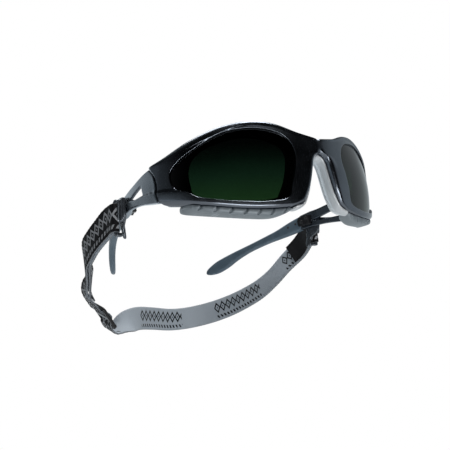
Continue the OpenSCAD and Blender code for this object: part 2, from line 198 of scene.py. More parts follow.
def rings(loops, closed_across=True):
    """Quads between successive loops of points, each loop closed on itself."""
    n = len(loops[0])
    faces = []
    last = len(loops) if closed_across else len(loops) - 1
    for j in range(last):
        k = (j + 1) % len(loops)
        for i in range(n):
            m = (i + 1) % n
            faces.append([j * n + i, j * n + m, k * n + m, k * n + i])
    return np.concatenate(loops), faces


def capped(loops):
    """A closed skin over successive loops, with a fan at each end."""
    points, faces = rings(loops, closed_across=False)
    n = len(loops[0])
    first, last = len(points), len(points) + 1
    points = np.concatenate([points, [loops[0].mean(0)], [loops[-1].mean(0)]])
    start = (len(loops) - 1) * n
    for i in range(n):
        m = (i + 1) % n
        faces.append([m, i, first])
        faces.append([start + i, start + m, last])
    return points, faces


def mirrored(points, side):
    """Points of the wearer's left side, moved to the given side: 1 is left, -1 is right."""
    return np.asarray(points, float) * [side, 1, 1]


def closed_outline(points, n, steps=10):
    """n even points round a closed smooth curve through points."""
    return even(spline(points + points[:1], steps), n)[:-1]


def soft(v, power):
    """A sine or cosine bent towards a square section, for a power under 1."""
    return math.copysign(abs(v) ** power, v)


def circle(n):
    return np.linspace(0, 2 * math.pi, n, endpoint=False)


def on_wrap(x, z, r):
    """Points on the wrap sphere of radius r at [x, z]."""
    return np.stack([x, WRAP_R - np.sqrt(np.maximum(r**2 - x**2 - (z - WRAP_Z) ** 2, 1)), z], axis=-1)


def arm_x(y):
    return SEAM_X - BEND_R + np.sqrt(BEND_R**2 - (y - SEAM_Y) ** 2)


def on_arm(y, z, off):
    """Points on the temple's bent wall, off inwards from its outer face."""
    crown = SEAM_X - np.sqrt(SEAM_X**2 - (z - WRAP_Z) ** 2)
    return np.stack([arm_x(y) - off - crown, y, z], axis=-1)


def shell(inner, outer, top, bottom, place, edge_in, edge_out, rows=6, inner_below=None):
    """A closed wall between an inner and an outer loop. top(p, d_in, d_out) and bottom(...) give its two
    faces' heights, and place(a, b, height) puts them in space. inner_below is the lower face's inner loop."""
    gap = np.linalg.norm(outer - inner, axis=1)
    r_in = np.minimum(edge_in, 0.3 * gap)
    r_out = np.minimum(edge_out, 0.42 * gap)
    bend = 1 - np.cos(np.linspace(0, np.pi / 2, 5))
    marks = [r_in * b for b in bend]
    marks += [r_in + (gap - r_in - r_out) * k / rows for k in range(1, rows)]
    marks += [gap - r_out * b for b in bend[::-1]]
    loops = []
    for height in (top, bottom):
        face = []
        start = inner if height is top or inner_below is None else inner_below
        for d in marks:
            p = start + (outer - start) * (d / gap)[:, None]
            face.append(place(p[:, 0], p[:, 1], height(p, d, gap - d, r_in, r_out)))
        loops += face if height is top else face[::-1]
    return loops


# ------------ materials
def node_material(name):
    material = bpy.data.materials.new(name)
    material.use_nodes = True
    tree = material.node_tree
    return material, tree, tree.nodes["Principled BSDF"]


def put(tree, socket, value):
    """Links another node's output to a socket, or sets the socket's value."""
    if isinstance(value, bpy.types.NodeSocket):
        tree.links.new(value, socket)
    else:
        socket.default_value = value


def feed(tree, node, **values):
    """Sets a node up. Lower-case names are its settings, and the others its inputs, with _ for each space."""
    for key, value in values.items():
        if key[0].islower():
            setattr(node, key, value)
        else:
            put(tree, node.inputs[key.replace("_", " ")], value)
    return node


def add(tree, kind, **values):
    return feed(tree, tree.nodes.new(kind), **values)


def calc(tree, operation, *values):
    node = add(tree, "ShaderNodeMath", operation=operation)
    for socket, value in zip(node.inputs, values):
        put(tree, socket, value)
    return node.outputs[0]


def noise(tree, scale, detail=3.0):
    place = add(tree, "ShaderNodeTexCoord").outputs["Object"]
    return add(tree, "ShaderNodeTexNoise", Vector=place, Scale=scale, Detail=detail).outputs["Fac"]


def colours(tree, fac, stops):
    """A colour ramp over fac, from (position, colour) stops."""
    node = add(tree, "ShaderNodeValToRGB", Fac=fac)
    ends = node.color_ramp.elements
    while len(ends) < len(stops):
        ends.new(0.5)
    for end, (at, colour) in zip(ends, stops):
        end.position = at
        end.color = (*colour, 1)
    return node.outputs["Color"]


def spread(tree, value, lo, hi, **more):
    """The value, 0 to 1 unless more says otherwise, mapped to lo to hi."""
    return add(tree, "ShaderNodeMapRange", **more, Value=value, To_Min=lo, To_Max=hi).outputs["Result"]


def mixed(tree, factor, a, b, data_type="RGBA", **more):
    return add(tree, "ShaderNodeMix", data_type=data_type, **more, Factor=factor, A=a, B=b).outputs["Result"]


def bump(tree, shader, height, depth, strength):
    node = add(tree, "ShaderNodeBump", Height=height, Distance=depth, Strength=strength)
    feed(tree, shader, Normal=node.outputs["Normal"])


MOTTLE, GLOSS = 90.0, 220.0
WORN = [(0.5, (0, 0, 0)), (0.62, (1, 1, 1))]


def moulded(name, dark, light, roughness, metallic=0.0, coat=0.0, grain=900.0, depth=0.00003, wear=1.5):
    """A moulded surface: mottled colour, worn edges, uneven gloss and a fine grain."""
    material, tree, shader = node_material(name)
    base = colours(tree, noise(tree, MOTTLE, 5.0), [(0.25, dark), (0.75, light)])
    worn = colours(tree, add(tree, "ShaderNodeNewGeometry").outputs["Pointiness"], WORN)
    rubbed = (*[min(1.0, v * wear) for v in light], 1)
    feed(tree, shader, Base_Color=mixed(tree, worn, base, rubbed),
         Roughness=spread(tree, noise(tree, GLOSS, 4.0), roughness - 0.05, roughness + 0.07),
         Metallic=metallic, Coat_Weight=coat, Coat_Roughness=0.06)
    bump(tree, shader, noise(tree, grain, 2.0), depth, 0.6)
    return material


TINT_LOW, TINT_TOP = -20 * MM, 8 * MM  # heights between which the glass is painted darker upwards, a painted shade for the dark frame and seal seen through it
# the glass's own green, painted darker towards the top as painted shade
GLASS_GREEN_WITH_PAINTED_SHADE = [(0.0, (0.012, 0.036, 0.011)), (0.4, (0.0055, 0.017, 0.008)), (0.7, (0.0018, 0.005, 0.003)),
        (0.92, (0.0008, 0.0012, 0.001))]


def lens_material():
    """Shade glass: dark green that lets a little light through, painted darker towards the brow, a painted
    shade for the dark inside seen through it.
    """
    material, tree, shader = node_material("lens_shade")
    place = add(tree, "ShaderNodeTexCoord").outputs["Object"]
    split = add(tree, "ShaderNodeSeparateXYZ", Vector=place)
    height = spread(tree, split.outputs["Z"], 0, 1, From_Min=TINT_LOW, From_Max=TINT_TOP)
    cloudy = mixed(tree, 0.25, colours(tree, height, GLASS_GREEN_WITH_PAINTED_SHADE), noise(tree, 60.0, 2.0), blend_type="MULTIPLY")
    feed(tree, shader, Base_Color=cloudy, Transmission_Weight=1.0, IOR=1.5,
         Roughness=spread(tree, noise(tree, 300.0), 0.0, 0.03))
    return material


# The band's woven figure, in mm along and across it
DIAMOND_PITCH, DIAMOND_HALF, DIAMOND_ROW = 4.4, (2.5, 4.0), 1.6
TICK_PITCH, TICK_HALF, TICK_ROW, TICK_LEAN = 2.6, 1.0, -4.6, 0.5
RING_OUT, RING_IN, CORE = 0.98, 0.56, 0.2  # shares of a diamond
GROUP_PITCH, GROUP_SHARE = 66.0, 0.62
WARP_PITCH, WEFT_PITCH = 0.7, 0.62


def pattern(tree, ground, figure):
    """A woven figure along the band: a row of hollow diamonds over a row of slanted ticks, in groups.
    Returns its colour and its height."""
    uv = add(tree, "ShaderNodeUVMap", uv_map="band").outputs["UV"]
    split = add(tree, "ShaderNodeSeparateXYZ", Vector=uv)
    along, across = split.outputs["X"], split.outputs["Y"]

    def do(operation, *values):
        return calc(tree, operation, *values)

    def distance(value, middle):
        return do("ABSOLUTE", do("SUBTRACT", value, middle))

    cell = do("PINGPONG", along, DIAMOND_PITCH)
    reach = do("ADD", do("DIVIDE", distance(cell, DIAMOND_PITCH / 2), DIAMOND_HALF[0]),
               do("DIVIDE", distance(across, DIAMOND_ROW), DIAMOND_HALF[1]))
    ring = do("MULTIPLY", do("LESS_THAN", reach, RING_OUT), do("GREATER_THAN", reach, RING_IN))
    diamond = do("MAXIMUM", ring, do("LESS_THAN", reach, CORE))
    lean = do("ADD", along, do("MULTIPLY", across, TICK_LEAN))
    tick = do("LESS_THAN", do("FRACT", do("DIVIDE", lean, TICK_PITCH)), 0.5)
    tick = do("MULTIPLY", tick, do("LESS_THAN", distance(across, TICK_ROW), TICK_HALF))
    group = do("LESS_THAN", do("FRACT", do("DIVIDE", along, GROUP_PITCH)), GROUP_SHARE)
    mask = do("MULTIPLY", do("MAXIMUM", diamond, tick), group)

    warp = do("SINE", do("MULTIPLY", along, 2 * math.pi / WARP_PITCH))
    weft = do("SINE", do("MULTIPLY", across, 2 * math.pi / WEFT_PITCH))
    shade = do("ADD", do("MULTIPLY", do("MULTIPLY", warp, weft), 0.5), 0.5)
    dye = mixed(tree, mask, (*ground, 1), (*figure, 1))
    # The threads are painted darker where the weave's relief is low, a painted shade in its hollows.
    thread_painted_shade = colours(tree, shade, [(0.0, (0.45, 0.45, 0.47)), (1.0, (1, 1, 1))])
    woven = mixed(tree, 0.45, dye, thread_painted_shade, blend_type="MULTIPLY")
    return woven, do("ADD", shade, do("MULTIPLY", mask, 0.6))


def strap_material(name, ground, figure, sheen):
    material, tree, shader = node_material(name)
    colour, height = pattern(tree, ground, figure)
    feed(tree, shader, Base_Color=colour, Roughness=spread(tree, noise(tree, 500.0), 0.5, 0.72),
         Sheen_Weight=sheen, Sheen_Roughness=0.4, Specular_IOR_Level=0.25)
    bump(tree, shader, height, 0.00012, 0.7)
    return material


# Each moulding: its darker and lighter colour, its roughness, and what sets it apart
FRAME_PAINT = moulded("frame_graphite", (0.155, 0.175, 0.205), (0.19, 0.215, 0.25), 0.22,
                      metallic=1.0, coat=0.3, grain=260.0, depth=0.0000015, wear=1.0)
LENS_SHADE = lens_material()
SEAL_FOAM = moulded("seal_foam", (0.003, 0.003, 0.003), (0.008, 0.008, 0.008), 0.85,
                    grain=2600.0, depth=0.00015)
# The nose flange and the vents are one grey rubber in two copies: the nose copy is painted lighter as a
# painted highlight, and the vent copy darker as painted shade.
NOSE_RUBBER_PAINTED_LIT = moulded("nose_rubber", (0.62, 0.67, 0.71), (0.74, 0.79, 0.82), 0.3, metallic=0.2, grain=1500.0)
VENT_RUBBER_PAINTED_SHADED = moulded("vent_rubber_painted_shaded", (0.195, 0.235, 0.26), (0.26, 0.295, 0.325), 0.4,
                      metallic=0.2, grain=1500.0)
SCREW_STEEL = moulded("screw_steel", (0.45, 0.45, 0.46), (0.6, 0.6, 0.62), 0.28, metallic=1.0, grain=3000.0)
TEMPLE_PAINT = moulded("temple_slate", (0.13, 0.152, 0.18), (0.155, 0.182, 0.215), 0.25,
                       metallic=1.0, coat=0.2, grain=300.0, depth=0.000002, wear=1.2)
TIP_RUBBER = moulded("tip_rubber", (0.09, 0.14, 0.185), (0.13, 0.185, 0.235), 0.42,
                     grain=1300.0, depth=0.00006)
PIN_PLASTIC = moulded("pin_plastic", (0.01, 0.01, 0.012), (0.03, 0.03, 0.032), 0.5)
ANCHOR_PLASTIC = moulded("anchor_plastic", (0.1, 0.112, 0.128), (0.15, 0.168, 0.19), 0.24,
                         metallic=0.7, grain=600.0, depth=0.000006)
LOCK_PLASTIC = moulded("lock_plastic", (0.006, 0.006, 0.008), (0.014, 0.014, 0.016), 0.4)
SLIDER_PLASTIC = moulded("slider_plastic", (0.006, 0.006, 0.007), (0.014, 0.014, 0.015), 0.3)
STRAP_OUT = strap_material("strap_outer_face", (0.006, 0.006, 0.008), (0.5, 0.52, 0.55), 0.03)
STRAP_IN = strap_material("strap_inner_face", (0.49, 0.55, 0.61), (0.008, 0.009, 0.012), 0.2)
STRAP_EDGE = moulded("strap_edge", (0.11, 0.12, 0.135), (0.2, 0.22, 0.24), 0.7, grain=4000.0, depth=0.0001)


def finish_piece(obj, material, body, slot, *nodes):
    """Gives a piece its material and body, and hides the CAD nodes that it stands for. Its slot is not used.
    """
    obj.data.materials.clear()
    obj.data.materials.append(material)
    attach(obj, body)
    if nodes:
        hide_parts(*nodes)


SIDES = ((-1, "right"), (1, "left"))


# ------------ front
def span_of(points, start, stop, n):
    """n + 1 even points of the closed window curve between two of its corners."""
    steps = 12
    p = spline(points, steps, closed=True)
    idx = np.arange(start * steps, stop * steps + 1) % len(p)
    return even(p[idx], n)


def matched(window, parts):
    """Matching loops round a window and round the outline beside it, part by part: the window's corners from
    and to, the outline's stretch and its number of steps."""
    inner = [span_of(window, start, stop, n)[:-1] for start, stop, edge, n in parts]
    outer = [even(edge, n)[:-1] for start, stop, edge, n in parts]
    return np.concatenate(inner), np.concatenate(outer)


BRIDGE_TOP, BRIDGE_LOW = RIM_TOP[0][1], NOSE_EDGE[-1][1]
MIDDLE_W = 2.4
BROW_STEP = 0.38  # how far the brow stands above the rim inside it
LEDGE_STEP, LEDGE_LIFT, LEDGE_FALL = 0.55, 0.25, 0.09


def off_middle(p, d_out):
    """Distance to the outer edge, measured only up and down near the middle line, where there is no edge."""
    beside = np.minimum(BRIDGE_TOP - p[:, 1], p[:, 1] - BRIDGE_LOW) + 0.12 * np.maximum(p[:, 0], 0)
    return np.where(p[:, 0] < MIDDLE_W, np.where(d_out + 0.05 < beside, beside, d_out), d_out)


def front_top(p, d_in, d_out, r_in, r_out):
    """Sphere radius of the front's outer face, with the raised brow and the ledge at the outer corner."""
    x, z = p[:, 0], p[:, 1]
    d_out = off_middle(p, d_out)
    r = RIM_OUT - rounding(d_in, r_in) * 0.75 - rounding(d_out, r_out)
    brow = ramp(2, 8, z) * ramp(62, 50, x) * ramp(0, 12, x)
    r = r - BROW_STEP * brow * ramp(3.0, 3.7, d_out)
    edge = curve_at(LEDGE, x)
    corner = ramp(47, 55, x)
    below = ramp(0.25, -0.25, z - edge)
    r = r - corner * (1 - below) * ramp(8.5, 3, z) * LEDGE_STEP
    r = r + corner * below * (LEDGE_LIFT - LEDGE_FALL * np.maximum(edge - z, 0) ** 1.25)
    return r


def front_bottom(p, d_in, d_out, r_in, r_out):
    return RIM_IN + rounding(d_in, r_in * 0.6) + rounding(off_middle(p, d_out), r_out * 0.6)


def on_front(x, z, r):
    """Points of the front, stopped at the curved seam with the temple."""
    p = on_wrap(x, z, r)
    seam = curve_at([[b, a] for a, b in SEAM], z)
    past = p[:, 1] > seam
    reach = np.sqrt(np.maximum(r**2 - (WRAP_R - seam) ** 2 - (z - WRAP_Z) ** 2, 1))
    p[past, 0] = reach[past]
    p[past, 1] = seam[past]
    return p


def build_front():
    inner, outer = matched(WINDOW, [
        (0, 3, spline(NOSE_EDGE, 8), 26), (3, 4, [NOSE_EDGE[-1], RIM_TOP[0]], 8),
        (4, 11, spline(RIM_TOP, 8), 56), (11, 14, [RIM_TOP[-1], RIM_LOW[0]], 20),
        (14, 20, spline(RIM_LOW, 8), 50)])
    loops = shell(inner, outer, front_top, front_bottom, on_front, edge_in=0.45, edge_out=1.7)
    points, faces = rings(loops)
    flat = np.abs(points[:, 0]) < 1e-6
    faces = [f for f in faces if not all(flat[f])]
    both = np.concatenate([points, points * [-1, 1, 1]])
    count = len(points)
    faces = faces + [[v + count for v in f[::-1]] for f in faces]
    obj = weld(new_object("front_rim", both, faces))
    subdivide(obj)
    finish_piece(obj, FRAME_PAINT, "front", "frame", "front_frame")


LENS_TUCK = 0.12  # the rounding of a lens's edge
LENS_BITE, SEAL_BITE = 0.9, 1.0  # how far they reach past the window, into the rim
LENS_ROWS = [*np.linspace(0.08, 0.97, 10), 0.99, 1.0]  # shares of the way out


def dome(outline, r_front, r_back, side):
    """A lens: a thin shell of the wrap inside an outline, with rounded edges."""
    centre = outline.mean(0)
    loops = []
    for r, order in ((r_front, 1), (r_back, -1)):
        face = []
        for k in LENS_ROWS:
            p = centre + (outline - centre) * k
            tuck = LENS_TUCK * ramp(0.97, 1.0, k) * order
            face.append(on_wrap(p[:, 0], p[:, 1], r - tuck))
        loops += face[::order]
    return capped([mirrored(loop, side) for loop in loops])


def build_lenses():
    outline = closed_outline(WINDOW, 140)
    outline = outline + normals(outline, True) * LENS_BITE
    for side, name in SIDES:
        points, faces = dome(outline, LENS_OUT, LENS_IN, side)
        obj = weld(new_object("lens_" + name + "_glass", points, faces))
        finish_piece(obj, LENS_SHADE, "front", "lens", "lens_" + name)


def build_seals():
    inner = closed_outline(SEAL_WINDOW, 120)
    outer = closed_outline(WINDOW, 120)
    outer = outer + normals(outer, True) * SEAL_BITE

    def top(p, d_in, d_out, r_in, r_out):
        return SEAL_OUT - rounding(d_in, r_in) * 0.5

    def bottom(p, d_in, d_out, r_in, r_out):
        return SEAL_IN + rounding(d_in, r_in) + rounding(d_out, r_out)

    for side, name in SIDES:
        loops = shell(inner, outer, top, bottom, on_wrap, edge_in=1.4, edge_out=1.2)
        for loop in loops:
            loop[:, 1] = np.minimum(loop[:, 1], SEAL_BACK)
        loops = [mirrored(loop, side) for loop in loops]
        obj = weld(new_object("seal_" + name + "_foam", *rings(loops)))
        finish_piece(obj, SEAL_FOAM, "front", "seal", "lens_seal_" + name)


# The nose flange: shares of the way back, its sizes, its feet at the vents, and the groove before its lip
NOSE_SHARES = (0, 0.03, 0.1, 0.25, 0.4, 0.55, 0.68, 0.75, 0.78, 0.81, 0.86, 0.93, 0.97, 1)
NOSE_FRONT, NOSE_DEEP, NOSE_WALL = 2.3, 8.6, 1.05
NOSE_FEET = [[16.6, -15.2], [13.4, -14.1]]
NOSE_SPLAY, NOSE_CROWN, NOSE_LIP = 2.2, 0.35, 0.15
GROOVE_AT, GROOVE_WIDE, GROOVE_DEEP = 0.78, 0.02, 0.4


def quarter_round(share):
    """Square of a quarter circle's height, at a share of its width."""
    return 1 - (1 - min(share, 1)) ** 2


def build_nose_piece():
    """A soft flange that follows the nose cut-out, with a lip at the back, and runs out to the vents."""
    edge = spline(NOSE_FEET + NOSE_EDGE[1:], 6)
    arch = even(np.concatenate([edge, (edge * [-1, 1])[-2::-1]]), 100)
    out = -normals(arch, False)
    near_end = np.minimum(np.arange(len(arch)), np.arange(len(arch))[::-1])
    loops = []
    for p, n, steps in zip(arch, out, near_end):
        taper = math.sqrt(max(0.05, quarter_round(steps / 4)))
        faces = []
        for toward_nose in (1, -1):
            face = []
            for share in NOSE_SHARES:
                thick = math.sqrt(quarter_round(min(share, 1 - share) / 0.07))
                off = 0.1 + NOSE_WALL / 2 * (1 + toward_nose * thick * taper)
                off -= NOSE_SPLAY * ramp(0.3, 1.0, share)
                if toward_nose > 0:
                    rise = NOSE_CROWN * math.sin(math.pi * share) + NOSE_LIP * ramp(0.8, 0.85, share) * thick
                    rise -= GROOVE_DEEP * math.exp(-((share - GROOVE_AT) / GROOVE_WIDE) ** 2)
                    off += rise * taper
                q = p - n * off
                back = NOSE_FRONT + NOSE_DEEP * (0.5 + (share - 0.5) * taper)
                face.append([q[0], back, q[1] - share])
            faces.append(face)
        loops.append(np.array(faces[0] + faces[1][-2:0:-1]))
    obj = weld(new_object("nose_flange", *capped(loops)))
    subdivide(obj)
    finish_piece(obj, NOSE_RUBBER_PAINTED_LIT, "front", "nose_rubber", "nose_piece")


# The vents: where they end and are cut across, and the slots in them
VENT_NEAR, VENT_FAR = 15.6, 54.5
VENT_CUTS = np.concatenate([np.linspace(15.7, 17.6, 8), np.arange(17.8, 53, 0.2), np.linspace(53.1, 54.4, 8)])
SLOTS = 18.5 + 5.2 * np.arange(7)
SLOT_LEAN, SLOT_DEEP = 0.52, 0.9
VENT_TUCK, VENT_LEAST, VENT_ROUND = 0.25, 1.2, 1.6


def build_vents():
    """Soft ribbed strips under the lower rims, cut by slanted slots."""
    low = spline(VENT_LOW, 10)[::-1]
    top = spline(RIM_LOW, 10)[::-1]
    loops = []
    for x in VENT_CUTS:
        z1 = np.interp(x, top[:, 0], top[:, 1]) + VENT_TUCK
        z0 = min(np.interp(x, low[:, 0], low[:, 1]), z1 - VENT_LEAST)
        close = min(1.0, math.sqrt(min(x - VENT_NEAR, VENT_FAR - x) / VENT_ROUND))
        mid, half = (z1 + z0) / 2, max((z1 - z0) / 2, 0.1)
        loop = []
        for t in circle(26):
            c, s = soft(math.cos(t), 0.5), soft(math.sin(t), 0.55)
            z = mid + s * half * (0.9 + 0.1 * close)
            depth = (VENT_OUT - VENT_IN) / 2
            cut = min(abs(x + SLOT_LEAN * (z - z1) - k) for k in SLOTS)
            groove = SLOT_DEEP * (1 - ramp(0.22, 0.5, cut)) * (1 if c > 0 else 0) * ramp(-1.0, -0.4, s)
            r = (VENT_OUT + VENT_IN) / 2 + c * depth * close - groove
            loop.append([x, z, r])
        loop = np.array(loop)
        loops.append(on_wrap(loop[:, 0], loop[:, 1], loop[:, 2]))
    for side, name in SIDES:
        obj = weld(new_object("vent_" + name + "_ribs", *capped([mirrored(loop, side) for loop in loops])))
        finish_piece(obj, VENT_RUBBER_PAINTED_SHADED, "front", "vent", "vent_strip_" + name)


# ------------ temples
FRONT_END, SEAM_GAP = 37, 0.3  # the arm's front end stands back from the seam
BAR_STEP, BAR_LIFT, BAR_FALL = 0.5, 0.2, 0.11
WINDOW_THIN = 1.3  # how much thinner the arm is round its window
TRENCH = (5.0, 0.9)  # how far the window slants back and down at its rear end


def arm_outside(p, d_in, d_out, r_in, r_out):
    """How far the arm's outer face lies inwards of the temple's outer wall."""
    y, z = p[:, 0], p[:, 1]
    edge = curve_at(BAR_EDGE, y)
    below = ramp(0.22, -0.22, z - edge)
    step = BAR_STEP * (1 - below) - below * (BAR_LIFT - BAR_FALL * np.maximum(edge - z, 0) ** 1.3)
    front = ramp(36.2, 38.5, y - 0.35 * np.maximum(z, 0))
    top = rounding(d_out, r_out) + rounding(d_in, r_in) * 0.8
    return step * (0.4 + 0.6 * front) + top


def arm_inside(p, d_in, d_out, r_in, r_out):
    thin = WINDOW_THIN * ramp(46, 53, p[:, 0]) * ramp(76, 70, p[:, 0])
    return ARM_T - thin - rounding(d_in, r_in) * 0.7 - rounding(d_out, r_out) * 0.7


def build_arms():
    front = [[y + SEAM_GAP, z] for y, z in SEAM]
    low = [[y + (SEAM_GAP if y < FRONT_END else 0), z] for y, z in ARM_LOW]
    inner, outer = matched(ARM_WINDOW, [
        (0, 3, spline(front, 8), 20), (3, 5, spline(ARM_TOP, 8), 44), (5, 6, [ARM_TOP[-1], ARM_LOW[0]], 10),
        (6, 8, spline(low, 8), 44)])
    rear = ramp(56, 69, inner[:, 0])
    below = inner + np.stack([TRENCH[0] * rear, -TRENCH[1] * rear], axis=1)
    loops = shell(inner, outer, arm_outside, arm_inside, on_arm, edge_in=0.6, edge_out=1.1, rows=8,
                  inner_below=below)
    for side, name in SIDES:
        body = name + "_temple"
        obj = weld(new_object("arm_" + name, *rings([mirrored(loop, side) for loop in loops])))
        subdivide(obj)
        finish_piece(obj, TEMPLE_PAINT, body, "temple", "temple_arm_" + name)
        build_knuckles(side, name)


HINGE = (58.9, 39.6)  # the hinge's axis, [x, y]
KNUCKLE_R, KNUCKLE_EDGE = 2.2, 0.25
KNUCKLES = (  # on what, from and to which heights, and the leaf's box
    ("front", ((2.2, 5.6), (-5.6, -2.2)), (57.2, 59.9, 34.5, 39.6)),
    ("arm", ((-2.0, 2.0),), (59.2, 62, 39.6, 43.4)))
LEAF_INSET = 0.05
BOX_FACES = [[0, 3, 2, 1], [4, 5, 6, 7], [0, 1, 5, 4], [1, 2, 6, 5], [2, 3, 7, 6], [3, 0, 4, 7]]


def build_knuckles(side, name):
    """Hinge barrels: two on the front and one on the arm, each with a leaf into its own part."""
    looks = {"front": (FRAME_PAINT, "front", "frame"), "arm": (TEMPLE_PAINT, name + "_temple", "temple")}
    turn = circle(40)
    thin = KNUCKLE_R - KNUCKLE_EDGE
    for owner, spans, (x0, x1, y0, y1) in KNUCKLES:
        for k, (lo, hi) in enumerate(spans):
            profile = ((thin, lo), (KNUCKLE_R, lo + KNUCKLE_EDGE), (KNUCKLE_R, hi - KNUCKLE_EDGE), (thin, hi))
            loops = [np.stack([side * HINGE[0] + r * np.cos(turn), HINGE[1] + r * np.sin(turn),
                               np.full(len(turn), z)], axis=1) for r, z in profile]
            barrel = weld(new_object(f"knuckle_{owner}_{name}_{k}", *capped(loops)))
            finish_piece(barrel, *looks[owner])
            corners = [[x, y, z] for z in (lo + LEAF_INSET, hi - LEAF_INSET)
                       for x, y in ((x0, y0), (x1, y0), (x1, y1), (x0, y1))]
            leaf = weld(new_object(f"leaf_{owner}_{name}_{k}", mirrored(corners, side), BOX_FACES))
            soften = leaf.modifiers.new("bevel", "BEVEL")
            soften.width = 0.00025
            soften.segments = 3
            finish_piece(leaf, *looks[owner])


TIP_SECTIONS = [  # [y, middle height, half height, half thickness]
    [83.3, 0.6, 4.3, 2.0], [84.2, 0.55, 4.45, 2.3], [94, -1.2, 3.9, 2.35], [103, -3.0, 3.0, 2.3],
    [110.8, -4.3, 2.55, 2.25], [119.8, -6.1, 2.3, 2.2], [127.6, -7.9, 2.35, 2.15], [136.7, -10.6, 3.0, 2.1],
    [145, -13.8, 4.0, 2.05], [152, -16.2, 4.1, 1.9], [157, -17.8, 3.0, 1.6], [159.8, -18.6, 1.8, 1.1],
    [161, -19.0, 0.7, 0.5]]
TIP_PROUD = 0.4  # how far the tip stands out past the arm's wall
TIP_SQUARE = 0.62
GRIP_AT, GRIP_WIDE, GRIP_DEEP = 85.6, 0.5, 0.16


def build_tips():
    """Soft tips: a drooped paddle, grooved near the arm where it grips the tongue."""
    rows = spline(TIP_SECTIONS, 6)
    loops = []
    for y, mid, half, thick in rows:
        loop = []
        grip = GRIP_DEEP * math.exp(-((y - GRIP_AT) / GRIP_WIDE) ** 2)
        for t in circle(32):
            a = soft(math.cos(t), TIP_SQUARE) * (thick - grip)
            b = soft(math.sin(t), TIP_SQUARE) * (half - grip)
            loop.append([y, mid + b, TIP_T / 2 - TIP_PROUD - a])
        loop = np.array(loop)
        loops.append(np.stack([arm_x(loop[:, 0]) - loop[:, 2], loop[:, 0], loop[:, 1]], axis=1))
    for side, name in SIDES:
        obj = weld(new_object("tip_" + name, *capped([mirrored(loop, side) for loop in loops])))
        subdivide(obj)
        finish_piece(obj, TIP_RUBBER, name + "_temple", "tip", "temple_tip_" + name)


ROD_END = ((0, 0.55), (0.4, 0.88), (1, 1))  # shares of the rounded end, and the section's size there


def rod(a, b, across, half_a, half_b, power=0.6, round_end=0.6):
    """A bar from a to b with a soft-cornered section: half_a along across, half_b square to it."""
    a, b = np.asarray(a, float), np.asarray(b, float)
    length = np.linalg.norm(b - a)
    t = (b - a) / length
    u = np.asarray(across, float) - np.dot(across, t) * t
    u /= np.linalg.norm(u)
    v = np.cross(t, u)
    sections = [(round_end * share, size) for share, size in ROD_END]
    sections += [(length - at, size) for at, size in sections[::-1]]
    loops = []
    for at, size in sections:
        loop = []
        for k in circle(20):
            along_u = soft(math.cos(k), power) * half_a * size
            along_v = soft(math.sin(k), power) * half_b * size
            loop.append(a + t * at + u * along_u + v * along_v)
        loops.append(np.array(loop))
    return capped(loops)


def fused(name, solids, voxel=0.24, rounds=4):
    """Solids run together into one moulded piece with softened corners."""
    points, faces, count = [], [], 0
    for p, f in solids:
        points.append(p)
        faces += [[v + count for v in face] for face in f]
        count += len(p)
    obj = weld(new_object(name, np.concatenate(points), faces), 1e-7)
    melt = obj.modifiers.new("melt", "REMESH")
    melt.mode = "VOXEL"
    melt.voxel_size = voxel * MM
    smooth = obj.modifiers.new("soft", "SMOOTH")
    smooth.factor = 0.5
    smooth.iterations = rounds
    apply_modifiers(obj)
    obj.data.polygons.foreach_set("use_smooth", [True] * len(obj.data.polygons))
    return obj


def plate(outline, outer, inner, side, edge=0.5):
    """A flat moulding on the temple's wall between two offsets, with its outer edge rounded."""
    loops = []
    centre = outline.mean(0)
    out = normals(outline, True)
    if np.sum((outline - centre) * out) < 0:
        out = -out
    for off, inset in ((inner, 0.15), (inner - 0.2, 0), (outer + edge, 0), (outer + edge * 0.3, edge * 0.3),
                       (outer, edge), (outer - 0.02, edge * 2)):
        p = outline - out * inset
        loops.append(mirrored(on_arm(p[:, 0], p[:, 1], off), side))
    return capped(loops)


# ------------ strap anchors and slider
ANCHOR_SIDE = [[73, 4.2], [77.6, 5.4], [82.9, 5.2], [83, -3.6], [82.9, -9], [82.8, -14], [80.6, -14],
               [79.4, -9.4], [76.4, -7.6], [73.4, -4.6]]
BAR_TOP = (81.4, 3.8)
BAR_LOW = (81, -13)
BAR_STAND = 3.9
PIN_SPOTS = ((87, 0.6), (93, -0.3))
RIDGES = ((73.9, 75.4, 2.0, 0.75), (77.0, 79.9, 3.0, 0.95))  # y at top and bottom, stand, half width
RIDGE_TOP, RIDGE_LOW = 4.2, -7.4
BAR_R = 0.95
BAR_FOOT = (1.7, 1.0)  # half sizes of the posts that hold the bar
PEGS = ((76.6, 2.2), (80.4, 0.4))
PEG_R, PEG_LEN = 1.1, 1.3
PIN_R = 0.78
ANCHOR_WALL, LOCK_WALL = (-1.5, -0.1), (ARM_T + 2.3, ARM_T + 0.1)
LOCK_SIDE = [[75, 4], [79, 3.9], [83, 3.2], [83, -1.8], [79, -1.7], [75, -1.5]]


def bar_ends(side):
    return [mirrored([arm_x(y) + BAR_STAND, y - 0.8, z], side) for y, z in (BAR_TOP, BAR_LOW)]


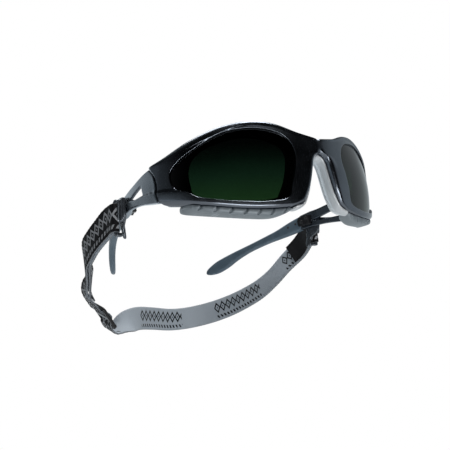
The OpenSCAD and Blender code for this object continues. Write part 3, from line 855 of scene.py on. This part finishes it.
def build_anchors():
    """Moulded strap anchors with two leaning ridges and a bar, and the black locks behind the arms."""
    outline = closed_outline(ANCHOR_SIDE, 60, 6)
    block = closed_outline(LOCK_SIDE, 48, 6)
    for side, name in SIDES:
        body = name + "_temple"
        solids = [plate(outline, *ANCHOR_WALL, side)]
        for y_top, y_low, stand, wide in RIDGES:
            top = mirrored([arm_x(y_top) + stand - 1, y_top, RIDGE_TOP], side)
            low = mirrored([arm_x(y_low) + stand - 1, y_low, RIDGE_LOW], side)
            solids.append(rod(top, low, (0, 1, 0), wide, 1.2, round_end=1.6))
        top, low = bar_ends(side)
        inward = np.array([-side * (BAR_STAND - 0.6), 0, 0])
        solids.append(rod(top, low, (1, 0, 0), BAR_R, BAR_R, power=1.0, round_end=0.3))
        for end in (top, low):
            solids.append(rod(end + inward, end - inward * 0.12, (0, 1, 0), *BAR_FOOT))
        obj = fused("anchor_" + name, solids)
        finish_piece(obj, ANCHOR_PLASTIC, body, "anchor", "strap_anchor_" + name)
        solids = [plate(block, *LOCK_WALL, side, edge=0.4)]
        for y, z in PEGS:
            foot = mirrored([arm_x(y) - ARM_T - 1.5, y, z], side)
            solids.append(rod(foot, foot - [side * PEG_LEN, 0, 0], (0, 1, 0), PEG_R, PEG_R, power=1.0,
                              round_end=0.3))
        obj = fused("lock_" + name, solids)
        finish_piece(obj, LOCK_PLASTIC, body, "lock", "anchor_lock_" + name)


SLIDER_AT = np.array([-48.2, 144, -46.6])
SLIDER_ALONG = np.array([0.61, 0.27, -0.745])
SLIDER_ACROSS = np.array([-0.035, 0.95, 0.31])
SLIDER_LEN, SLIDER_W, SLIDER_T = 15.0, BAND_W + 5, 2.0
SLOT_W, SLOT_L, SLIDER_BAR = BAND_W + 1.4, 3.9, 1.3
SLIDER_INSET, BAR_INSET = 0.35, 1.0


def slider_axes():
    x = SLIDER_ALONG / np.linalg.norm(SLIDER_ALONG)
    y = SLIDER_ACROSS - np.dot(SLIDER_ACROSS, x) * x
    y /= np.linalg.norm(y)
    return x, y, np.cross(x, y)


def build_slider():
    x, y, _ = slider_axes()
    solids = []
    end = SLIDER_BAR + SLOT_L
    wide = (SLIDER_LEN / 2 - end) / 2
    rail = (SLIDER_W - SLOT_W) / 4
    reach = SLIDER_W / 2
    for at, half in ((-(end + wide), wide), (0, SLIDER_BAR), (end + wide, wide)):
        short = SLIDER_INSET if at else BAR_INSET
        a = SLIDER_AT + x * at - y * (reach - short)
        solids.append(rod(a, a + 2 * y * (reach - short), x, half, SLIDER_T / 2, power=0.5, round_end=1.2))
    for sign in (-1, 1):
        half = SLIDER_LEN / 2 - SLIDER_INSET
        a = SLIDER_AT + y * sign * (reach - rail) - x * half
        solids.append(rod(a, a + 2 * x * half, y, rail, SLIDER_T / 2, power=0.5, round_end=1.2))
    obj = fused("slider_buckle", solids)
    finish_piece(obj, SLIDER_PLASTIC, "slider", "slider", "strap_slider")


# ------------ strap
# The band's route, right to left: [centre, direction up the band], in mm
END_RIGHT = [
    [[-66.4, 86.6, -4.9], [-0.03, 0.06, 0.99]],
    [[-68.2, 93.8, -8.6], [-0.04, 0.3, 0.95]],
    [[-69.8, 100.8, -12.4], [-0.06, 0.42, 0.9]]]
RUN_RIGHT = [
    [[-70.2, 107.8, -16], [-0.08, 0.5, 0.86]],
    [[-69.2, 113.4, -19.8], [0.16, 0.74, 0.64]],
    [[-66.8, 118.6, -23.8], [0.34, 0.84, 0.42]],
    [[-64.2, 124, -27], [0.4, 0.84, 0.36]],
    [[-62.6, 129.2, -29.8], [0.3, 0.86, 0.4]],
    [[-61.8, 133.6, -32], [0.16, 0.9, 0.42]],
    [[-60.4, 137.4, -34.6], [0.04, 0.93, 0.36]],
    [[-58.8, 139.8, -36.9], [-0.02, 0.95, 0.32]],
    [[-56.8, 141.2, -39.2], [-0.035, 0.95, 0.31]]]
BACK = [
    [[-44.3, 146.7, -54.4], [-0.035, 0.95, 0.31]],
    [[-42.9, 147.3, -55.6], [-0.04, 0.95, 0.31]],
    [[-40.8, 147.6, -55.8], [-0.05, 0.94, 0.33]],
    [[-37.6, 147.9, -54.4], [-0.08, 0.86, 0.5]],
    [[-33.4, 149, -52.2], [-0.14, 0.62, 0.77]],
    [[-28, 152, -50], [-0.12, 0.3, 0.95]],
    [[-19, 158.4, -48.4], [-0.02, 0.06, 1]],
    [[-6, 166.4, -48.4], [0, -0.02, 1]],
    [[10, 172.4, -49.2], [0, -0.05, 1]],
    [[24, 173, -48.4], [0, 0, 1]],
    [[38, 168.4, -46], [0.02, 0.02, 1]],
    [[47.6, 157.6, -42.6], [0.05, 0.05, 1]],
    [[53.2, 143.4, -38.4], [0.1, 0.12, 0.98]],
    [[56.4, 129, -33.6], [0.12, 0.25, 0.95]],
    [[58.8, 117, -27.4], [0.15, 0.42, 0.9]],
    [[62, 107.6, -20], [0.1, 0.52, 0.84]]]
END_LEFT = [
    [[66.3, 98.5, -13], [0.05, 0.45, 0.88]],
    [[67.1, 92.4, -8.4], [0.05, 0.2, 0.97]],
    [[66.4, 86.6, -4.9], [0.03, 0.06, 0.99]]]
WEAVE = [[-9.9, -1.95], [-7, -1.95], [-5.4, -1.9], [-4.3, -1.4], [-3.1, 0], [-1.9, 1.5], [0, 1.95],
         [1.9, 1.5], [3.1, 0], [4.3, -1.4], [5.4, -1.9], [7, -1.95], [8.4, -1.95]]
LAYER = 1.9  # from the band's middle to the middle of the layer inside it
STEP = 0.7
ROUTE_STEPS = 10
INNER_FROM, BACK_FROM, TAIL_TO = 20, 46, 26  # the legs' ends, in route steps
TURN_R = 1.0 + 0.12 + BAND_T / 2  # round the anchor's bar, with a little room
SOFT_EDGE, EDGE_CUTS, FLAT_FROM = 0.42, np.array([0, 0.12, 0.4]), 1.2
RIPPLE, RIPPLE_PITCH = 0.1, 2.3


def route(points):
    """Dense centres and up directions along a route."""
    return spline([p for p, u in points], ROUTE_STEPS), spline([u for p, u in points], ROUTE_STEPS)


def frames(centre, up):
    """Unit directions along, across and off the face of a band."""
    t = np.gradient(centre, axis=0)
    t /= np.linalg.norm(t, axis=1)[:, None]
    w = up - np.sum(up * t, axis=1)[:, None] * t
    w /= np.linalg.norm(w, axis=1)[:, None]
    return t, w, np.cross(w, t)


def retraced(centre, up, gap):
    """The same route on the band's inner side, walked the other way."""
    return (centre - frames(centre, up)[2] * gap)[::-1], up[::-1]


def around_bar(side, backwards=False):
    """Half a turn round the anchor's bar, from its inner side past its front to its outer side."""
    top, low = bar_ends(side)
    middle = (top + low) / 2
    axis = (top - low) / np.linalg.norm(top - low)
    out = np.array([side, 0, 0])
    ahead = np.array([0, -1, 0]) - np.dot([0, -1, 0], axis) * axis
    turn = np.array([middle + TURN_R * (-out * math.cos(a) + ahead * math.sin(a))
                     for a in np.linspace(0, math.pi, 13)])
    turn = turn[::-1] if backwards else turn
    return turn, np.tile(axis, (len(turn), 1))


def joined(*legs):
    """Legs of a route run together, evenly stepped. Returns centres, ups and where each leg ends."""
    centre = np.concatenate([c for c, u in legs])
    up = np.concatenate([u / np.linalg.norm(u, axis=1)[:, None] for c, u in legs])
    ends = np.cumsum([len(c) for c, u in legs]) - 1
    run = np.concatenate([[0], np.cumsum(np.linalg.norm(np.diff(centre, axis=0), axis=1))])
    keep = np.concatenate([[True], np.diff(run) > 1e-6])
    count = int(run[-1] / STEP)
    at = np.linspace(0, run[-1], count + 1)
    both = [np.stack([np.interp(at, run[keep], v[keep, k]) for k in range(3)], axis=1) for v in (centre, up)]
    for v in both:
        for _ in range(6):
            v[1:-1] = (v[:-2] + 2 * v[1:-1] + v[2:]) / 4
    return both[0], both[1], [int(round(run[e] / run[-1] * count)) for e in ends]


def band(name, centre, w, n, start_u):
    """A woven elastic band: a thin closed strip with soft edges. Returns it and its length in mm."""
    run = np.concatenate([[0], np.cumsum(np.linalg.norm(np.diff(centre, axis=0), axis=1))])
    half = BAND_W / 2
    across = np.concatenate([EDGE_CUTS - half, np.linspace(FLAT_FROM - half, half - FLAT_FROM, 9),
                             half - EDGE_CUTS[::-1]])
    past = np.clip((np.abs(across) - half + SOFT_EDGE) / SOFT_EDGE, 0, 1)
    thick = BAND_T / 2 * np.sqrt(np.clip(1 - past**2, 0.12, 1))
    points, uv, count = [], [], len(across)
    for i, c in enumerate(centre):
        u = start_u + run[i]
        ripple = RIPPLE * np.sin(2 * math.pi * u / RIPPLE_PITCH) * np.abs(across / half) ** 3
        for sign, order in ((1, 1), (-1, -1)):
            for j in range(count)[::order]:
                points.append(c + w[i] * across[j] + n[i] * (sign * thick[j] + ripple[j]))
                uv.append((u, across[j]))
    ring = 2 * count
    faces, material = [], []
    for i in range(len(centre) - 1):
        for j in range(ring):
            k = (j + 1) % ring
            faces.append([i * ring + j, (i + 1) * ring + j, (i + 1) * ring + k, i * ring + k])
            edge = j in (0, count - 2, count - 1, count, ring - 2, ring - 1)
            material.append(2 if edge else (0 if j < count else 1))
    last = (len(centre) - 1) * ring
    for j in range(count - 1):
        faces.append([j, j + 1, ring - 2 - j, ring - 1 - j])
        faces.append([last + j + 1, last + j, last + ring - 1 - j, last + ring - 2 - j])
        material += [2, 2]
    obj = new_object(name, points, faces, uv=uv, face_material=material)
    bm = bmesh.new()
    bm.from_mesh(obj.data)
    bmesh.ops.recalc_face_normals(bm, faces=bm.faces)
    bm.faces.ensure_lookup_table()
    for face in bm.faces[-2 * (count - 1):]:
        face.smooth = False
        for line in face.edges:
            line.smooth = False
    bm.to_mesh(obj.data)
    bm.free()
    return obj, run[-1]


def finish_band(obj, nodes):
    for material in (STRAP_OUT, STRAP_IN, STRAP_EDGE):
        obj.data.materials.append(material)
    if nodes:
        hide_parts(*nodes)
    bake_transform(obj)


def build_strap():
    """The whole band: doubled at the right anchor, through the slider, round the back to the left anchor."""
    x, y, z = slider_axes()
    down_c, down_u = route(END_RIGHT + RUN_RIGHT)
    inner = retraced(down_c, down_u, LAYER)
    weave = spline(WEAVE, 6)
    weave_c = np.array([SLIDER_AT + x * a + z * b for a, b in weave])
    weave_u = np.tile(y, (len(weave_c), 1))
    back_c, back_u = route(BACK + END_LEFT)
    tail = retraced(back_c, back_u, LAYER)
    centre, up, ends = joined(
        [v[INNER_FROM:] for v in inner], around_bar(-1), (down_c, down_u), (weave_c, weave_u),
        (back_c[:BACK_FROM], back_u[:BACK_FROM]), (back_c[BACK_FROM:], back_u[BACK_FROM:]),
        around_bar(1, backwards=True), [v[:TAIL_TO] for v in tail])
    _, w, n = frames(centre, up)
    cuts = [0, ends[2], ends[3], ends[4], len(centre) - 1]
    lengths = [
        ("band_right_run", ["strap_end_right", "strap_run_right"], ("right_temple", "front"),
         END_RIGHT[2][0], RUN_RIGHT[-1][0], ["anchor_right"]),
        ("band_slider_loop", ["strap_loop"], ("front", "slider"), weave_c[0], SLIDER_AT - x * 7.6,
         ["slider_buckle"]),
        ("band_slider_out", [], ("slider", "front"), BACK[0][0], BACK[4][0], ["slider_buckle"]),
        ("band_back", ["strap_back", "strap_end_left"], ("front", "left_temple"), BACK[7][0], END_LEFT[0][0],
         ["anchor_left"])]
    total = 0.0
    for (name, nodes, bodies, start, end, rests_on), a, b in zip(lengths, cuts, cuts[1:]):
        part = slice(a, b + 1)
        obj, length = band(name, centre[part], w[part], n[part], total)
        total += length
        finish_band(obj, nodes)


def build_pins():
    """The two small dark pins that hold each tip, seen on its inner face."""
    for side, name in SIDES:
        solids = []
        for y, z in PIN_SPOTS:
            foot = mirrored([arm_x(y) - 1.6, y, z], side)
            solids.append(rod(foot, foot - [side * (TIP_T - 1.78), 0, 0], (0, 1, 0), PIN_R, PIN_R, power=1.0,
                              round_end=0.25))
        obj = fused("pins_" + name, solids, voxel=0.12, rounds=2)
        finish_piece(obj, PIN_PLASTIC, name + "_temple", "pin", "tip_pins_" + name)


def finish_cad_nodes():
    """The hinge screws keep their CAD shape and get a detailed finish."""
    for _, name in SIDES:
        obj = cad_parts["hinge_screw_" + name]
        obj.data.materials.clear()
        obj.data.materials.append(SCREW_STEEL)


# ------------ stage, camera and light
def aim(obj, target):
    obj.rotation_euler = (Vector(target) - obj.location).to_track_quat("-Z", "Y").to_euler()


def softbox(name, place, target, size, power):
    data = bpy.data.lights.new(name, "AREA")
    data.shape = "RECTANGLE"
    data.size, data.size_y = size
    data.energy = power
    obj = bpy.data.objects.new(name, data)
    bpy.context.scene.collection.objects.link(obj)
    obj.location = place
    aim(obj, target)


def build_stage():
    size, depth = 0.7, -0.32
    mesh = bpy.data.meshes.new("floor")
    mesh.from_pydata([(-size, -size, depth), (size, -size, depth), (size, size, depth), (-size, size, depth)],
                     [], [(0, 1, 2, 3)])
    floor = bpy.data.objects.new("floor", mesh)
    bpy.context.scene.collection.objects.link(floor)
    material, tree, shader = node_material("floor_pale")
    feed(tree, shader, Base_Color=(0.86, 0.86, 0.86, 1), Roughness=0.9)
    mesh.materials.append(material)


def build_world():
    """A pale studio: bright behind and below the glasses, dark in front of them."""
    world = bpy.data.worlds.new("studio")
    bpy.context.scene.world = world
    world.use_nodes = True
    tree = world.node_tree
    place = add(tree, "ShaderNodeTexCoord").outputs["Generated"]
    split = add(tree, "ShaderNodeSeparateXYZ", Vector=place)

    def fade(axis, lo, hi, at_lo, at_hi):
        return spread(tree, split.outputs[axis], at_lo, at_hi, interpolation_type="SMOOTHSTEP",
                      From_Min=lo, From_Max=hi)

    lit = calc(tree, "MULTIPLY", fade("Y", -0.45, 0.32, 0.006, 1.0), fade("Z", 0.3, 0.6, 1.0, 0.15))
    lit = calc(tree, "MULTIPLY", lit, fade("X", -0.65, 0.0, 0.16, 1.0))
    lit = calc(tree, "MULTIPLY", lit, fade("X", 0.5, 0.95, 1.0, 0.45))
    lit = calc(tree, "MAXIMUM", lit, fade("X", 0.6, 0.92, 0.0, 0.4))
    near_corner = calc(tree, "MULTIPLY", fade("X", -0.98, -0.72, 1.0, 0.0), fade("Y", -0.3, 0.0, 0.0, 1.0))
    near_corner = calc(tree, "MULTIPLY", near_corner, fade("Z", -0.45, -0.05, 0.8, 0.1))
    lit = calc(tree, "MAXIMUM", lit, near_corner)
    seen = add(tree, "ShaderNodeLightPath").outputs["Is Camera Ray"]
    feed(tree, tree.nodes["Background"], Strength=mixed(tree, seen, lit, 1.0, "FLOAT"),
         Color=mixed(tree, seen, (0.86, 0.95, 1.0, 1), (1, 1, 1, 1)))


def build_camera():
    data = bpy.data.cameras.new("camera")
    data.sensor_width = 36
    data.lens = 44.42
    data.clip_start = 0.01
    data.clip_end = 20
    obj = bpy.data.objects.new("camera", data)
    bpy.context.scene.collection.objects.link(obj)
    right = Vector((0.84146, -0.53510, -0.07493))
    up = Vector((-0.05381, -0.22098, 0.97379))
    back = right.cross(up)
    turn = Matrix((right, up, back)).transposed()
    place = Vector((-0.16569, -0.16991, -0.07042)) + Vector(DATUM)
    obj.matrix_world = Matrix.Translation(place) @ turn.to_4x4()
    bpy.context.scene.camera = obj


build_front()
build_lenses()
build_seals()
build_nose_piece()
build_vents()
build_arms()
build_tips()
build_pins()
build_anchors()
build_slider()
build_strap()
finish_cad_nodes()
build_stage()
build_world()
build_camera()
bpy.context.scene.view_settings.view_transform = "Standard"
softbox("top", (0.1, 0.25, 0.7), (0, 0.05, 0), (0.5, 0.5), 3)
softbox("front_high", (0.1, -0.25, 0.9), (0, 0.12, -0.04), (0.3, 0.3), 5)
softbox("front_low", (-0.25, -0.45, -0.29), (0, 0.12, -0.05), (0.5, 0.14), 1.4)
